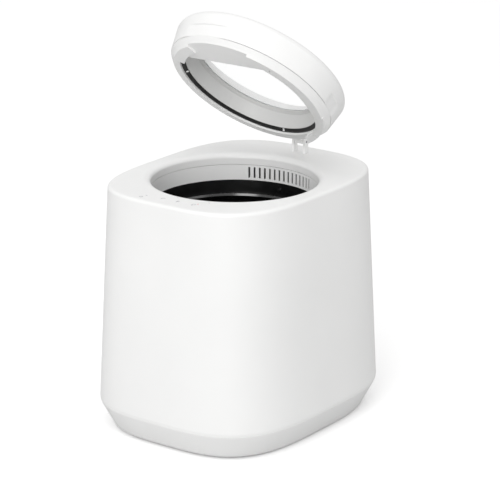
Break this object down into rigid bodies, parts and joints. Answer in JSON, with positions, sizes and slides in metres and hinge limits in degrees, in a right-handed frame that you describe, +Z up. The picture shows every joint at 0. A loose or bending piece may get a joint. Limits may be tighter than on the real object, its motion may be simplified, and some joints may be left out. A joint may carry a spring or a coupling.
{
  "type": "electric food waste composter",
  "caption": "Countertop food waste composter with a drafted body, a round hinged lid with a clear window, a lift-out bucket, a stirring drive, a fan and a rear filter drawer.",
  "frame": {"origin": "centre of the footprint, on the surface that the feet stand on", "axes": "+Z up, +X to the right along the front face with the touch keys, +Y towards the rear with the hinge and the filter drawer"},
  "size_m": [0.2706, 0.3298, 0.5017],
  "materials": {
    "white_plastic": "satin white moulding",
    "light_plastic": "light grey satin moulding",
    "grey_plastic": "matt moulding",
    "black_plastic": "matt black moulding",
    "black_coating": "glossy black non-stick coating",
    "aluminium": "drawn sheet",
    "steel": "plated",
    "brass": "turned",
    "rubber": "matt",
    "felt": "mineral felt",
    "carbon": "pressed granules",
    "circuit_board": "solder mask",
    "lens": "diffusing light window",
    "clear_window": "clear polished window"
  },
  "bodies": {
    "appliance": {"housing_shell": "white_plastic", "mouth_ring": "white_plastic", "base_tray": "white_plastic", "rubber_feet": "rubber", "base_screws": "steel", "chassis_plate": "aluminium", "chassis_screws": "steel", "vent_collar": "white_plastic", "funnel_ring": "black_plastic", "well_liner": "aluminium", "insulation_jacket": "felt", "heater_ring": "aluminium", "humidity_probe": "steel", "gearbox_case": "grey_plastic", "gearbox_cover": "grey_plastic", "shaft_bearings": "brass", "idler_pin": "steel", "motor_body": "steel", "air_box": "grey_plastic", "exhaust_duct": "grey_plastic", "fan_frame": "black_plastic", "control_board": "circuit_board", "power_board": "circuit_board", "touch_board": "circuit_board", "indicator_lenses": "lens", "power_inlet": "black_plastic", "inlet_pins": "steel", "lid_sensor": "black_plastic", "hinge_bracket": "white_plastic", "hinge_pin": "steel", "hinge_washers": "steel", "bracket_screws": "steel"},
    "bucket": {"bucket": "black_coating", "bucket_bush": "brass", "shaft_seal": "rubber"},
    "agitator": {"agitator_shaft": "steel", "agitator_blades": "black_coating"},
    "drive": {"output_gear": "grey_plastic", "output_shaft": "steel", "drive_coupling": "black_plastic"},
    "idler": {"idler_gear": "grey_plastic"},
    "motor_rotor": {"motor_pinion": "steel"},
    "lid": {"hinge_leaf": "white_plastic", "leaf_screws": "steel", "lid_cap": "white_plastic", "lid_window": "clear_window", "lid_liner": "light_plastic", "lid_gasket": "rubber", "gasket_clips": "white_plastic", "lid_rim": "white_plastic", "lid_magnet": "steel"},
    "filter": {"filter_drawer": "white_plastic", "filter_cartridge": "carbon", "filter_screen": "steel"},
    "fan": {"fan_impeller": "black_plastic"}
  },
  "joints": [
    {"name": "lid_hinge", "type": "hinge", "parent": "appliance", "child": "lid", "pos_m": [0, 0.1246, 0.3144], "axis": [-1, 0, 0], "range_deg": [-46, 45]},
    {"name": "bucket_lift", "type": "slide", "parent": "appliance", "child": "bucket", "axis": [0, 0, 1], "range_m": [0, 0.055]},
    {"name": "agitator_spin", "type": "hinge", "parent": "bucket", "child": "agitator", "pos_m": [0, -0.0094, 0.12], "axis": [0, 0, 1], "continuous": true},
    {"name": "drive_spin", "type": "hinge", "parent": "appliance", "child": "drive", "pos_m": [0, -0.0094, 0.07], "axis": [0, 0, 1], "continuous": true},
    {"name": "idler_spin", "type": "hinge", "parent": "appliance", "child": "idler", "pos_m": [0, -0.0454, 0.06], "axis": [0, 0, 1], "continuous": true},
    {"name": "motor_spin", "type": "hinge", "parent": "appliance", "child": "motor_rotor", "pos_m": [0, -0.0814, 0.06], "axis": [0, 0, 1], "continuous": true},
    {"name": "fan_spin", "type": "hinge", "parent": "appliance", "child": "fan", "pos_m": [0, 0.133, 0.13], "axis": [0, 1, 0], "continuous": true},
    {"name": "filter_slide", "type": "slide", "parent": "appliance", "child": "filter", "axis": [0, 1, 0], "range_m": [0, 0.045]}
  ],
  "couplings": [
    {"joint": "drive_spin", "follows": "agitator_spin", "ratio": 1},
    {"joint": "idler_spin", "follows": "agitator_spin", "ratio": -3},
    {"joint": "motor_spin", "follows": "agitator_spin", "ratio": 9}
  ]
}
